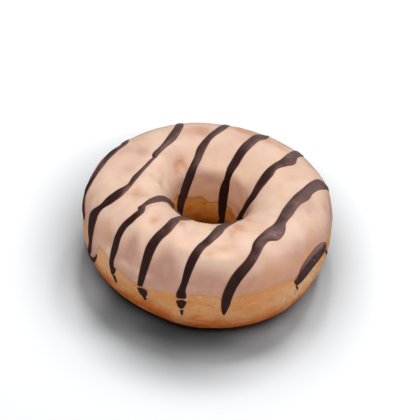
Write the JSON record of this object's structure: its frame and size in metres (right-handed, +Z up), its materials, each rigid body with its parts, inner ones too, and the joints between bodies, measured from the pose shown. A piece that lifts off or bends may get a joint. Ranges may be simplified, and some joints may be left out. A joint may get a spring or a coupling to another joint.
{
  "type": "iced ring doughnut",
  "caption": "Fried ring doughnut, flat underneath, dipped in pale icing and striped with dark chocolate; it lies flat on a plate or table.",
  "frame": {"origin": "middle of the footprint, on the surface that the doughnut rests on", "axes": "+Z up through the hole, -Y towards the side that the picture shows nearest, +X to the right of it"},
  "size_m": [0.0932, 0.0904, 0.0385],
  "materials": {
    "dough": "fried dough, golden brown, matte with a slight oily sheen",
    "icing": "set sugar icing, pale pinkish beige, satin",
    "chocolate": "set dark chocolate, satin"
  },
  "bodies": {
    "root": {"doughnut_ring": "dough"}
  },
  "joints": []
}
